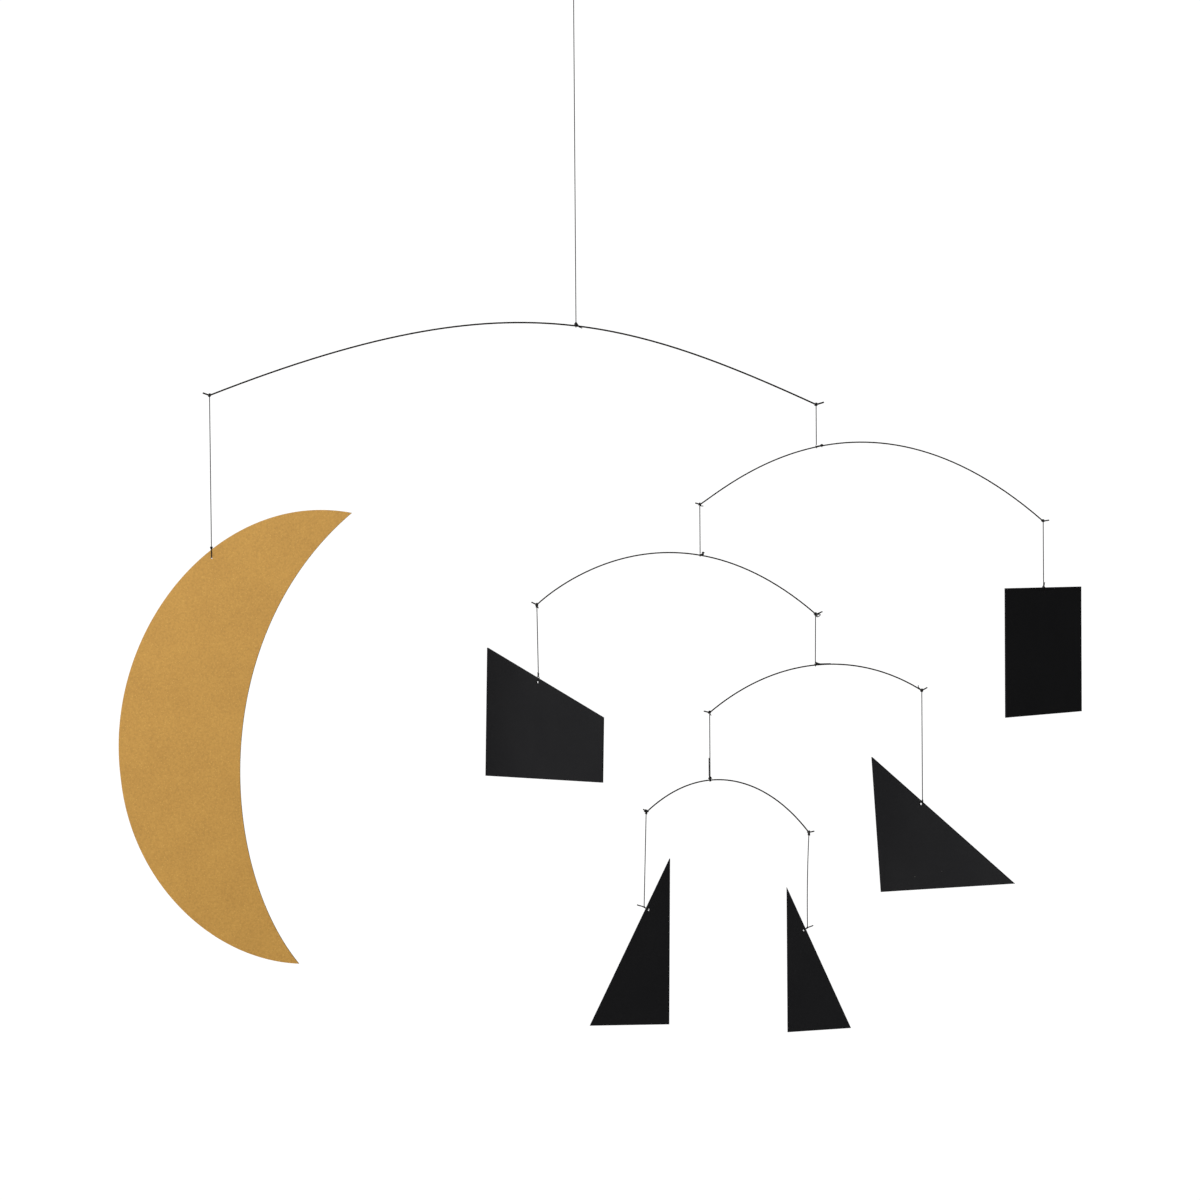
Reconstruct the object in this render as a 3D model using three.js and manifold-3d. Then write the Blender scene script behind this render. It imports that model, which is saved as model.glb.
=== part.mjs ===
// A hanging mobile: five bowed steel wires, one under the other, that carry a gold crescent moon
// and five black boards on threads. Millimetres, +Z up. The arms lie along X.
// The origin is the inside top of the thread loop that the whole mobile hangs by.
import * as THREE from "three";
import { mergeVertices } from "three/addons/utils/BufferGeometryUtils.js";
import Module from "manifold-3d";

// Board, wire and thread
const boardThickness = 1.2;
const holeRadius = 0.7;
const topWireRadius = 0.548;
const wireRadius = 0.438;
const threadRadius = 0.325;
const knotRadius = 0.7;
const clearance = 0.3;

// Weights in grams for each cubic millimetre, for finding where an arm balances
const boardDensity = 0.0008;
const steelDensity = 0.00785;
const threadDensity = 0.0003;

// The tied loop at the very top, and the thread from its inside top down to the top wire
const hangingLoop = { halfWidth: 2.5, reach: 12 };
const hangingLength = 290.4;

// Arms: the right end's place from the left one, how steeply and how far each end pulls its curve,
// and the short upturned kink outside each thread
const topArm = {
  span: 472.8, rise: -10.6, leftAngle: 21.3, leftPull: 247.3, rightAngle: 24.7, rightPull: 162.4,
  leftKink: 5.6, leftKinkAngle: 20, rightKink: 6.4, rightKinkAngle: 16,
};
const secondArm = {
  span: 267.6, rise: -13.3, leftAngle: 39.2, leftPull: 140.5, rightAngle: 41.7, rightPull: 79.5,
  leftKink: 4, leftKinkAngle: 17, rightKink: 4.8, rightKinkAngle: 9,
};
const thirdArm = {
  span: 216.1, rise: -10, leftAngle: 40.6, leftPull: 30, rightAngle: 41.4, rightPull: 138.4,
  leftKink: 4.8, leftKinkAngle: 26, rightKink: 5.5, rightKinkAngle: 23,
};
const fourthArm = {
  span: 165.6, rise: 16, leftAngle: 39.5, leftPull: 69.6, rightAngle: 32, rightPull: 59.6,
  leftKink: 4.8, leftKinkAngle: 14, rightKink: 5, rightKinkAngle: 29,
};
const bottomArm = {
  span: 126.7, rise: -15.5, leftAngle: 45.8, leftPull: 52.3, rightAngle: 53.2, rightPull: 64.4,
  leftKink: 3.2, leftKinkAngle: 28, rightKink: 4.5, rightKinkAngle: 12,
};

// The round bend between kink and arm takes this much of each
const bendReach = 1.2;

// Threads, from the upper wire's middle to the next wire's middle or to the knot over a board
const moonDrop = 119.6;
const secondArmDrop = 33.2;
const rectangleDrop = 49.6;
const thirdArmDrop = 38.2;
const trapezoidDrop = 55.4;
const fourthArmDrop = 40;
const bottomArmDrop = 53;
const largeTriangleDrop = 86;
const leftTriangleDrop = 72.4;
const rightTriangleDrop = 73.3;
const leftTriangleSway = -2.2;
const rightTriangleSway = -1.6;

// Boards. tilt leans a board in its own plane, turn swings it about its thread, both anticlockwise.
// along and inset place the hole by the edge it hangs from, knotX and knotZ the knot from the hole.
const moon = {
  height: 353.2, belly: 161.1, hollow: 81, holeShare: 0.397, inset: 5.3,
  tilt: -7.4, turn: -12.6, knotX: -0.7, knotZ: 7.4,
};
const rectangle = {
  width: 157.1, height: 99.2, along: 78.9, inset: 3.2, tilt: -0.3, turn: 62.8, knotX: -0.6, knotZ: 5.5,
};
const trapezoid = {
  width: 160.4, leftHeight: 101.8, rightHeight: 50.1, footRise: 6.6, along: 74.5, inset: 3.1,
  tilt: -2.1, turn: -54.8, knotX: 0.8, knotZ: 6.3,
};
const largeTriangle = {
  upright: 106.8, foot: 156.1, corner: 90, along: 67.7, inset: 2.1,
  tilt: 5.5, turn: -52.4, knotX: 1.8, knotZ: 2.7,
};
const leftTriangle = {
  upright: 130.1, foot: 72.5, corner: 88.2, along: 44, inset: 2.7,
  tilt: -0.8, turn: 31.4, knotX: -4.1, knotZ: 3.2,
};
const rightTriangle = {
  upright: 113.3, foot: 51.6, corner: 88.2, along: 36.6, inset: 1.9,
  tilt: 0, turn: 14, knotX: 3.1, knotZ: 3.4,
};

// Fineness of the faceted shapes
const tubeSides = 8;
const curveSteps = 22;
const holeSteps = 6;
const threadStep = 10;
const loopSides = 5;
const loopSteps = 10;
const hangingLoopSteps = 12;
const topArmSteps = 32;
const armSteps = 21;
const bendSteps = 4;
const knotSides = 7;
const knotRings = 5;

const gold = new THREE.MeshStandardMaterial({ color: 0xc0944e, roughness: 0.6, metalness: 0.25 });
const black = new THREE.MeshStandardMaterial({ color: 0x1c1c1e, roughness: 0.75, metalness: 0 });
const steel = new THREE.MeshStandardMaterial({ color: 0x4c4844, roughness: 0.4, metalness: 0.9 });
const cotton = new THREE.MeshStandardMaterial({ color: 0x2c2a28, roughness: 0.9, metalness: 0 });

const wasm = await Module();
wasm.setup();

// A material of its own for each mesh
function named(name, geometry, material) {
  const mesh = new THREE.Mesh(geometry, material.clone());
  mesh.name = name;
  return mesh;
}

function toSolid(geometry) {
  const bare = geometry.clone();
  bare.deleteAttribute("normal");
  bare.deleteAttribute("uv");
  const merged = mergeVertices(bare);
  return new wasm.Manifold(new wasm.Mesh({
    numProp: 3,
    vertProperties: new Float32Array(merged.getAttribute("position").array),
    triVerts: new Uint32Array(merged.getIndex().array),
  }));
}

// Joins overlapping closed meshes into one body
function fuse(...geometries) {
  const body = geometries.map(toSolid).reduce((sum, next) => sum.add(next));
  const mesh = body.getMesh();
  const geometry = new THREE.BufferGeometry();
  geometry.setAttribute("position", new THREE.Float32BufferAttribute(mesh.vertProperties, 3));
  geometry.setIndex(Array.from(mesh.triVerts));
  geometry.computeVertexNormals();
  return geometry;
}

// Weight of a closed mesh and the x of its balance point, from the tetrahedra under its triangles
function weigh(geometry, density) {
  const flat = geometry.index ? geometry.toNonIndexed() : geometry;
  const points = flat.getAttribute("position");
  const [a, b, c] = [new THREE.Vector3(), new THREE.Vector3(), new THREE.Vector3()];
  let volume = 0;
  let moment = 0;
  for (let i = 0; i < points.count; i += 3) {
    a.fromBufferAttribute(points, i);
    b.fromBufferAttribute(points, i + 1);
    c.fromBufferAttribute(points, i + 2);
    const part = a.dot(b.clone().cross(c)) / 6;
    volume += part;
    moment += part * (a.x + b.x + c.x) / 4;
  }
  return { weight: Math.abs(volume) * density, x: moment / volume };
}

// A path made of pieces, each with its own number of steps, so that short bends stay fine
class SteppedPath extends THREE.Curve {
  constructor(pieces) {
    super();
    this.pieces = pieces;
    this.steps = pieces.reduce((sum, piece) => sum + piece.steps, 0);
  }

  getPoint(t, target = new THREE.Vector3()) {
    let step = t * this.steps;
    let number = 0;
    while (step > this.pieces[number].steps && number < this.pieces.length - 1) {
      step -= this.pieces[number].steps;
      number += 1;
    }
    const piece = this.pieces[number];
    return piece.curve.getPoint(Math.min(step / piece.steps, 1), target);
  }

  getUtoTmapping(u) {
    return u;
  }
}

function tube(path, radius) {
  const section = [];
  for (let i = 0; i < tubeSides; i++) {
    const angle = 2 * Math.PI * i / tubeSides;
    section.push(new THREE.Vector2(radius * Math.cos(angle), radius * Math.sin(angle)));
  }
  const shape = new THREE.Shape(section);
  return new THREE.ExtrudeGeometry(shape, { steps: path.steps, extrudePath: path });
}

// A closed loop of thread in the XY plane, centred, reach long in Y along the middle of the thread
function threadLoop(halfWidth, reach, steps = loopSteps) {
  const halfStep = Math.PI / steps;
  const loopRadius = halfWidth / Math.cos(halfStep);
  const loop = new THREE.TorusGeometry(loopRadius, threadRadius, loopSides, steps);
  loop.rotateZ(halfStep);
  const points = loop.getAttribute("position");
  const pull = reach / 2 - halfWidth;
  for (let i = 0; i < points.count; i++) {
    points.setY(i, points.getY(i) + Math.sign(points.getY(i)) * pull);
  }
  return loop;
}

function knotAt(x, y, z) {
  const knot = new THREE.SphereGeometry(knotRadius, knotSides, knotRings);
  return knot.rotateX(Math.PI / 2).translate(x, y, z);
}

// The loop of thread round a wire that runs along X, leaning as the wire slopes
function wireLoop(radius, slope) {
  const halfWidth = radius + clearance + threadRadius;
  return threadLoop(halfWidth, 2 * halfWidth).rotateY(Math.PI / 2).rotateY(slope);
}

const knotOffset = (radius) => radius + clearance + knotRadius;

const spot = (x, z) => new THREE.Vector3(x, 0, z);

// A direction in the XZ plane, to the right for side 1 and to the left for side -1
function leaning(angle, side) {
  const a = THREE.MathUtils.degToRad(angle);
  return spot(side * Math.cos(a), Math.sin(a));
}

// One bowed wire: the kink at each end, a round bend that holds the thread, and the long bow between
function bowedWire(arm, radius, steps) {
  const left = spot(0, 0);
  const right = spot(arm.span, arm.rise);
  const leftOut = (reach) => left.clone().addScaledVector(leaning(arm.leftKinkAngle, -1), reach);
  const leftIn = (reach) => left.clone().addScaledVector(leaning(arm.leftAngle, 1), reach);
  const rightIn = (reach) => right.clone().addScaledVector(leaning(arm.rightAngle, -1), reach);
  const rightOut = (reach) => right.clone().addScaledVector(leaning(arm.rightKinkAngle, 1), reach);
  const bow = new THREE.CubicBezierCurve3(
    leftIn(bendReach), leftIn(arm.leftPull), rightIn(arm.rightPull), rightIn(bendReach),
  );
  const leftBend = new THREE.QuadraticBezierCurve3(leftOut(bendReach), left, leftIn(bendReach));
  const rightBend = new THREE.QuadraticBezierCurve3(rightIn(bendReach), right, rightOut(bendReach));
  const path = new SteppedPath([
    { curve: new THREE.LineCurve3(leftOut(arm.leftKink), leftOut(bendReach)), steps: 1 },
    { curve: leftBend, steps: bendSteps },
    { curve: bow, steps },
    { curve: rightBend, steps: bendSteps },
    { curve: new THREE.LineCurve3(rightOut(bendReach), rightOut(arm.rightKink)), steps: 1 },
  ]);
  return {
    geometry: tube(path, radius),
    bow,
    leftHook: leftBend.getPoint(0.5),
    rightHook: rightBend.getPoint(0.5),
  };
}

// The point of a bow at a given x, and its slope there
function bowAt(bow, x) {
  let [low, high] = [0, 1];
  for (let i = 0; i < 40; i++) {
    const middle = (low + high) / 2;
    if (bow.getPoint(middle).x < x) low = middle;
    else high = middle;
  }
  const tangent = bow.getTangent(low);
  return { point: bow.getPoint(low), slope: Math.atan2(tangent.z, tangent.x) };
}

// A thread with its upper knot, round a wire of the given radius, down to a load that hangs drop below
function hangOn(name, radius, slope, drop, load, sway = 0) {
  const foot = spot(sway, load.userData.knotTop + clearance - drop);
  const top = spot(0, -knotOffset(radius));
  const steps = Math.ceil(top.distanceTo(foot) / threadStep);
  const path = new SteppedPath([{ curve: new THREE.LineCurve3(top, foot), steps }]);
  const geometry = fuse(wireLoop(radius, slope), knotAt(0, 0, top.z), tube(path, threadRadius));
  const group = new THREE.Group();
  load.position.set(sway, 0, -drop);
  group.add(named(name, geometry, cotton), load);
  group.userData.weight = load.userData.weight + weigh(geometry, threadDensity).weight;
  return group;
}

// An arm with its two loads, tied where it balances, which is the group's origin
function hungArm(name, tieName, arm, radius, makeLeft, makeRight, steps = armSteps) {
  const { geometry, bow, leftHook, rightHook } = bowedWire(arm, radius, steps);
  const left = makeLeft(radius);
  const right = makeRight(radius);
  const wire = weigh(geometry, steelDensity);
  const weight = wire.weight + left.userData.weight + right.userData.weight;
  const hookMoment = left.userData.weight * leftHook.x + right.userData.weight * rightHook.x;
  const tieX = (wire.weight * wire.x + hookMoment) / weight;
  const { point: tie, slope } = bowAt(bow, tieX);
  left.position.subVectors(leftHook, tie);
  right.position.subVectors(rightHook, tie);
  const mesh = named(name, geometry, steel);
  mesh.position.copy(tie).negate();
  const knot = fuse(wireLoop(radius, -slope), knotAt(0, 0, knotOffset(radius)));
  const group = new THREE.Group();
  group.add(mesh, named(tieName, knot, cotton), left, right);
  group.userData = {
    weight: weight + weigh(knot, threadDensity).weight,
    knotTop: knotOffset(radius) + knotRadius,
  };
  return group;
}

// A board with its hole and the loop of thread through it. The group's origin is the knot.
function hungBoard(name, knotName, shape, hole, board, material) {
  shape.holes.push(new THREE.Path().absarc(hole.x, hole.y, holeRadius, 0, 2 * Math.PI, true));
  const plate = new THREE.ExtrudeGeometry(shape, {
    depth: boardThickness, bevelEnabled: false, curveSegments: holeSteps,
  });
  const tilt = THREE.MathUtils.degToRad(board.tilt);
  plate.translate(-hole.x, -hole.y, -boardThickness / 2).rotateZ(tilt);
  plate.translate(-board.knotX, -board.knotZ, 0).rotateX(Math.PI / 2);
  const reach = Math.hypot(board.knotX, board.knotZ);
  const lean = Math.atan2(board.knotX, board.knotZ);
  const loop = threadLoop(boardThickness / 2 + clearance + threadRadius, reach);
  loop.translate(0, -reach / 2, 0).rotateY(Math.PI / 2).rotateZ(-lean).rotateX(Math.PI / 2);
  const knot = fuse(loop, knotAt(0, 0, 0));
  const group = new THREE.Group();
  group.rotation.z = THREE.MathUtils.degToRad(board.turn);
  group.add(named(name, plate, material), named(knotName, knot, cotton));
  group.userData = {
    weight: weigh(plate, boardDensity).weight + weigh(knot, threadDensity).weight,
    knotTop: knotRadius,
  };
  return group;
}

// A hole near the straight edge between two corners, on the side where the board lies
function holeByEdge(from, to, board, side) {
  const edge = to.clone().sub(from).normalize();
  const inward = new THREE.Vector2(edge.y, -edge.x).multiplyScalar(side);
  return from.clone().addScaledVector(edge, board.along).addScaledVector(inward, board.inset);
}

const corner = (x, y) => new THREE.Vector2(x, y);

// side is 1 for a foot that runs to the right and -1 for one to the left
function triangleBoard(name, knotName, board, side) {
  const angle = THREE.MathUtils.degToRad(board.corner);
  const top = corner(0, board.upright);
  const toe = corner(side * board.foot * Math.sin(angle), board.foot * Math.cos(angle));
  const shape = new THREE.Shape(side > 0 ? [corner(0, 0), toe, top] : [corner(0, 0), top, toe]);
  return hungBoard(name, knotName, shape, holeByEdge(top, toe, board, side), board, black);
}

function rectangleBoard() {
  const { width, height } = rectangle;
  const [topLeft, topRight] = [corner(0, height), corner(width, height)];
  const shape = new THREE.Shape([corner(0, 0), corner(width, 0), topRight, topLeft]);
  const hole = holeByEdge(topLeft, topRight, rectangle, 1);
  return hungBoard("black_rectangle", "rectangle_knot", shape, hole, rectangle, black);
}

function trapezoidBoard() {
  const { width, leftHeight, rightHeight, footRise } = trapezoid;
  const topLeft = corner(0, leftHeight);
  const topRight = corner(width, footRise + rightHeight);
  const shape = new THREE.Shape([corner(0, 0), corner(width, footRise), topRight, topLeft]);
  const hole = holeByEdge(topLeft, topRight, trapezoid, 1);
  return hungBoard("black_trapezoid", "trapezoid_knot", shape, hole, trapezoid, black);
}

// The crescent's tips stand over each other, the upper one a height above the lower one at the
// origin. Its outer edge swings out to the belly in two curves and its inner edge is one hollow curve.
function moonBoard() {
  const { height, belly, hollow, holeShare, inset } = moon;
  const outerTop = new THREE.CubicBezierCurve(
    corner(0, height), corner(-0.68 * belly, 1.019 * height),
    corner(-1.186 * belly, 0.668 * height), corner(-belly, 0.349 * height),
  );
  const outerFoot = new THREE.CubicBezierCurve(
    corner(-belly, 0.349 * height), corner(-0.883 * belly, 0.122 * height),
    corner(-0.428 * belly, -0.021 * height), corner(0, 0),
  );
  const inner = new THREE.CubicBezierCurve(
    corner(0, 0), corner(-0.922 * hollow, 0.191 * height),
    corner(-1.286 * hollow, 0.692 * height), corner(0, height),
  );
  const outline = [outerTop, outerFoot, inner].flatMap((edge) => edge.getPoints(curveSteps).slice(1));
  const tangent = outerTop.getTangent(holeShare);
  const inward = corner(-tangent.y, tangent.x);
  const hole = outerTop.getPoint(holeShare).addScaledVector(inward, inset);
  return hungBoard("gold_moon", "moon_knot", new THREE.Shape(outline), hole, moon, gold);
}

const bottomGroup = (upperRadius) => hangOn(
  "bottom_arm_thread", upperRadius, 0, bottomArmDrop,
  hungArm("bottom_arm", "bottom_arm_tie", bottomArm, wireRadius,
    (radius) => hangOn("left_triangle_thread", radius, 0, leftTriangleDrop,
      triangleBoard("left_small_triangle", "left_triangle_knot", leftTriangle, -1), leftTriangleSway),
    (radius) => hangOn("right_triangle_thread", radius, 0, rightTriangleDrop,
      triangleBoard("right_small_triangle", "right_triangle_knot", rightTriangle, 1), rightTriangleSway)),
);

const fourthGroup = (upperRadius) => hangOn(
  "fourth_arm_thread", upperRadius, 0, fourthArmDrop,
  hungArm("fourth_arm", "fourth_arm_tie", fourthArm, wireRadius, bottomGroup,
    (radius) => hangOn("large_triangle_thread", radius, 0, largeTriangleDrop,
      triangleBoard("large_black_triangle", "large_triangle_knot", largeTriangle, 1))),
);

const thirdGroup = (upperRadius) => hangOn(
  "third_arm_thread", upperRadius, 0, thirdArmDrop,
  hungArm("third_arm", "third_arm_tie", thirdArm, wireRadius,
    (radius) => hangOn("trapezoid_thread", radius, 0, trapezoidDrop, trapezoidBoard()), fourthGroup),
);

const secondGroup = (upperRadius) => hangOn(
  "second_arm_thread", upperRadius, 0, secondArmDrop,
  hungArm("second_arm", "second_arm_tie", secondArm, wireRadius, thirdGroup,
    (radius) => hangOn("rectangle_thread", radius, 0, rectangleDrop, rectangleBoard())),
);

const topGroup = hungArm("top_arm", "top_arm_tie", topArm, topWireRadius,
  (radius) => hangOn("moon_thread", radius, 0, moonDrop, moonBoard()), secondGroup,
  topArmSteps);
topGroup.position.z = -hangingLength;

// The thread that everything hangs from, with its tied loop above
function hangingThread() {
  const knotZ = threadRadius - hangingLoop.reach;
  const { halfWidth, reach } = hangingLoop;
  const loop = threadLoop(halfWidth, reach, hangingLoopSteps).rotateX(Math.PI / 2);
  loop.translate(0, 0, threadRadius - reach / 2);
  const foot = topGroup.userData.knotTop + clearance - hangingLength;
  const steps = Math.ceil((knotZ - foot) / threadStep);
  const line = new THREE.LineCurve3(spot(0, knotZ), spot(0, foot));
  const drop = tube(new SteppedPath([{ curve: line, steps }]), threadRadius);
  return named("hanging_thread", fuse(loop, knotAt(0, 0, knotZ), drop), cotton);
}

const mobile = new THREE.Group();
mobile.add(hangingThread(), topGroup);
mobile.updateMatrixWorld(true);

export default mobile;
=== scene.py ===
"""Hanging mobile: five bowed steel wires, one under the other, that carry a gold crescent moon and
five black boards on thread. The frame is loaded, then come the camera, the finishes, the threads, the
wires, the boards, the hooks and knots, the floor and the light. Places and sizes in the tables are in
millimetres, the places as x and z or as x, y and z.
"""

from math import atan2, ceil, cos, hypot, pi, radians, sin

import bpy
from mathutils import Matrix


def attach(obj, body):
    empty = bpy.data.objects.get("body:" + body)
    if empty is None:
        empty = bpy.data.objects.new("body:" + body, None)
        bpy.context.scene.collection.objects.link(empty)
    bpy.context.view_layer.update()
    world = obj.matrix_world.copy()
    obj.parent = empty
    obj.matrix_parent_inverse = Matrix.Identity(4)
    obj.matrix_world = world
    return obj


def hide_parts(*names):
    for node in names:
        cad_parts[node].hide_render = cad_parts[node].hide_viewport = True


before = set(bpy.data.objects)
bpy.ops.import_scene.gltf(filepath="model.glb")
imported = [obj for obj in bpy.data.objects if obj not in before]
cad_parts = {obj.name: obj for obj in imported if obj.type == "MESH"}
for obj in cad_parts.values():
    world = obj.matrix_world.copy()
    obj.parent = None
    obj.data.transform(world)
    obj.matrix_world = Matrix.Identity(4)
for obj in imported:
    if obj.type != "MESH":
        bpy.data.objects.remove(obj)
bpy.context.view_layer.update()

MM = 0.001

# Radii of thread and wires, and how thick a board is. The board is as in the frame. Thread and wire
# are drawn up to two tenths of a millimetre thicker than there, because the real ones look that dark.
THREAD = 0.36
TOP_WIRE = 0.64
WIRE = 0.53
BOARD = 1.2

# The tied loop at the very top: how far under its peak the knot lies, half its width, and the steps
# between two places of its route
LOOP_REACH = 12
LOOP_HALF_WIDTH = 2.5
LOOP_STEPS = 16

# How far thread keeps from what it is wound on, and how far from its own turns and from a board
CLEAR = 0.02
TURN_GAP = 0.03

# How far a thread starts under the wire that it hangs from, and ends over its tie or its knot
UNDER_HOOK = 0.4
OVER_TIE = 0.9
OVER_KNOT = 0.3

# Bevel resolution of thread, which makes 8 sides, and of wire, 16
THREAD_ROUND = 2
WIRE_ROUND = 6

# Points of a mesh that lie closer than this, in metres, become one. Faces that meet at less than the
# angle look like one round surface.
WELD = 0.000002
SMOOTH_ANGLE = radians(40)

# Each wire: its left corner in the world, the right corner from there, how steeply and how far each
# end pulls its bow, and the upturned kink past each corner. tie is where its thread holds it.
ARMS = {
    "top": dict(
        corner=(-286.0939, -342.459), span=472.8, rise=-10.6, left=(20.90, 240.96), right=(24.99, 171.85),
        left_kink=(20, 5.6), right_kink=(16, 6.4), wire=TOP_WIRE, tie=(0, -290.4),
    ),
    "second": dict(
        corner=(95.76, -430.24), span=267.40, rise=-14.97, left=(34, 33.53), right=(41.38, 181.08),
        left_kink=(17, 4), right_kink=(9, 4.8), wire=WIRE, tie=(186.722, -386.051),
    ),
    "third": dict(
        corner=(-32.1, -507.6), span=217.7, rise=-9.05, left=(43.21, 16.48), right=(41.18, 148.55),
        left_kink=(26, 4.8), right_kink=(23, 5.5), wire=WIRE, tie=(95.508, -469.830),
    ),
    "fourth": dict(
        corner=(102.1278, -592.6766), span=165.6, rise=16, left=(39.59, 70.37), right=(32.16, 58.47),
        left_kink=(14, 4.8), right_kink=(29, 5), wire=WIRE, tie=(184.824, -556.172),
    ),
    "bottom": dict(
        corner=(52.56, -669.76), span=126.25, rise=-17.05, left=(42.57, 59.95), right=(52.77, 56.02),
        left_kink=(33.8, 3.55), right_kink=(12, 4.5), wire=WIRE, tie=(102.068, -645.413),
    ),
}

# Each thread: the wire and the place that it hangs from, and where it holds a wire or a board
THREADS = {
    "moon": dict(arm="top", top=(-286.096, -342.248), foot=(-285.6, -461.35)),
    "second_arm": dict(arm="top", top=(186.722, -352.851), foot=(186.722, -386.051)),
    "third_arm": dict(arm="second", top=(95.508, -429.960), foot=(95.508, -469.830)),
    "rectangle": dict(arm="second", top=(363.234, -444.961), foot=(363.234, -496.06)),
    "trapezoid": dict(arm="third", top=(-32.142, -507.274), foot=(-31.369, -561.561)),
    "fourth_arm": dict(arm="third", top=(185.2, -516.335), foot=(184.824, -556.172)),
    "bottom_arm": dict(arm="fourth", top=(102.068, -592.413), foot=(102.068, -645.413)),
    "large_triangle": dict(arm="fourth", top=(267.736, -576.372), foot=(267.736, -662.372)),
    "left_triangle": dict(arm="bottom", top=(51.960, -669.660), foot=(49.859, -744.25)),
    "right_triangle": dict(arm="bottom", top=(178.928, -686.507), foot=(177.328, -761.2), bow=-0.6),
}


def row_name(thread):
    """The short name of a wire's or a board's row."""
    return thread.replace("_arm", "")


def line_body(thread):
    return row_name(thread) + "_line"


# Camera

# 3.74 m in front of the mobile with a long lens, tipped down and rolled by under a degree
TIPPED_DOWN = 0.836
ROLLED = 0.416
bpy.ops.object.camera_add(
    location=(0.01755, -3.744, -0.4496), rotation=(radians(90 - TIPPED_DOWN), radians(ROLLED), 0)
)
camera = bpy.context.object
camera.data.lens = 144
camera.data.sensor_width = 36
camera.data.clip_end = 60
bpy.context.scene.camera = camera


# Making pieces


def only(obj):
    """Selects one object and nothing else."""
    bpy.ops.object.select_all(action="DESELECT")
    obj.select_set(True)
    bpy.context.view_layer.objects.active = obj


def metres(points):
    return [tuple(MM * c for c in p) for p in points]


def strand(name, points, radius, closed=False):
    """A round length of thread along the points, in millimetres, as a curve."""
    bpy.ops.object.select_all(action="DESELECT")
    bpy.ops.curve.primitive_nurbs_path_add(location=(0, 0, 0))
    obj = bpy.context.object
    obj.name = name
    line = obj.data
    line.name = name
    line.splines.clear()
    spline = line.splines.new("POLY")
    spline.points.add(len(points) - 1)
    for point, place in zip(spline.points, metres(points)):
        point.co = (*place, 1)
    spline.use_cyclic_u = closed
    spline.use_smooth = True
    line.dimensions = "3D"
    line.fill_mode = "FULL"
    line.bevel_depth = radius * MM
    line.bevel_resolution = THREAD_ROUND
    line.use_fill_caps = not closed
    return obj


def mesh_of(obj):
    """Makes a curve a mesh, closed and facing outwards."""
    only(obj)
    bpy.ops.object.convert(target="MESH")
    bpy.ops.object.mode_set(mode="EDIT")
    bpy.ops.mesh.select_all(action="SELECT")
    bpy.ops.mesh.remove_doubles(threshold=WELD)
    bpy.ops.mesh.normals_make_consistent(inside=False)
    bpy.ops.object.mode_set(mode="OBJECT")


def solid(obj):
    """Makes a curve a mesh that looks round."""
    mesh_of(obj)
    bpy.ops.object.shade_smooth_by_angle(angle=SMOOTH_ANGLE)
    return obj


def bend(obj, name, route, radius, steps, roundness):
    """Bends a bezier curve along a route of places and handles, as x and z, and makes it solid."""
    obj.name = name
    line = obj.data
    line.name = name
    spline = line.splines[0]
    spline.bezier_points.add(len(route) - len(spline.bezier_points))
    for point, row in zip(spline.bezier_points, route):
        point.handle_left_type = point.handle_right_type = "FREE"
        point.co, point.handle_left, point.handle_right = [(x * MM, 0, z * MM) for x, z in row]
    spline.resolution_u = steps
    line.dimensions = "3D"
    line.fill_mode = "FULL"
    line.bevel_depth = radius * MM
    line.bevel_resolution = roundness
    line.use_fill_caps = not spline.use_cyclic_u
    return solid(obj)


def place(obj, where, turn=(0, 0, 0)):
    """Turns a mesh about its origin, in degrees, and sets it at a place in millimetres."""
    only(obj)
    obj.rotation_euler = [radians(a) for a in turn]
    obj.location = [MM * c for c in where]
    bpy.ops.object.transform_apply(location=True, rotation=True, scale=True)
    return obj


def copy(obj, name):
    only(obj)
    bpy.ops.object.duplicate(linked=False)
    twin = bpy.context.object
    twin.name = name
    twin.data.name = name
    return twin


def dress(obj, *finishes):
    """Takes away the finishes that a piece has and gives it its own."""
    obj.data.materials.clear()
    for material in finishes:
        obj.data.materials.append(material)


def settle(obj, body, slot, *finishes):
    """Gives a piece its finishes, and lets it move with a body."""
    dress(obj, *finishes)
    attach(obj, body)
    return obj


# Finishes


def linear(code):
    """An sRGB hex colour as the linear one that the shader takes."""
    channels = [int(code[i : i + 2], 16) / 255 for i in (1, 3, 5)]
    return tuple(c / 12.92 if c <= 0.04045 else ((c + 0.055) / 1.055) ** 2.4 for c in channels) + (1,)


def add(tree, kind, settings=None, links=None):
    """Adds a node with its settings and what is linked into it."""
    node = tree.nodes.new("ShaderNode" + kind)
    for name, value in (settings or {}).items():
        if isinstance(name, str) and hasattr(node, name) and name not in node.inputs:
            setattr(node, name, value)
        else:
            node.inputs[name].default_value = value
    for name, output in (links or {}).items():
        tree.links.new(output, node.inputs[name])
    return node


def finish(name, **sockets):
    """A material with its shader and the object's own coordinates."""
    material = bpy.data.materials.new(name)
    material.use_nodes = True
    tree = material.node_tree
    tree.nodes.clear()
    shader = add(tree, "BsdfPrincipled", {key.replace("_", " "): value for key, value in sockets.items()})
    add(tree, "OutputMaterial", links={"Surface": shader.outputs["BSDF"]})
    return material, tree, shader, add(tree, "TexCoord").outputs["Object"]


def noise(tree, at, scale, detail, roughness=0.5):
    """How light or dark a cloudy noise is at each place."""
    settings = {"Scale": scale, "Detail": detail, "Roughness": roughness}
    return add(tree, "TexNoise", settings, {"Vector": at}).outputs["Fac"]


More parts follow.
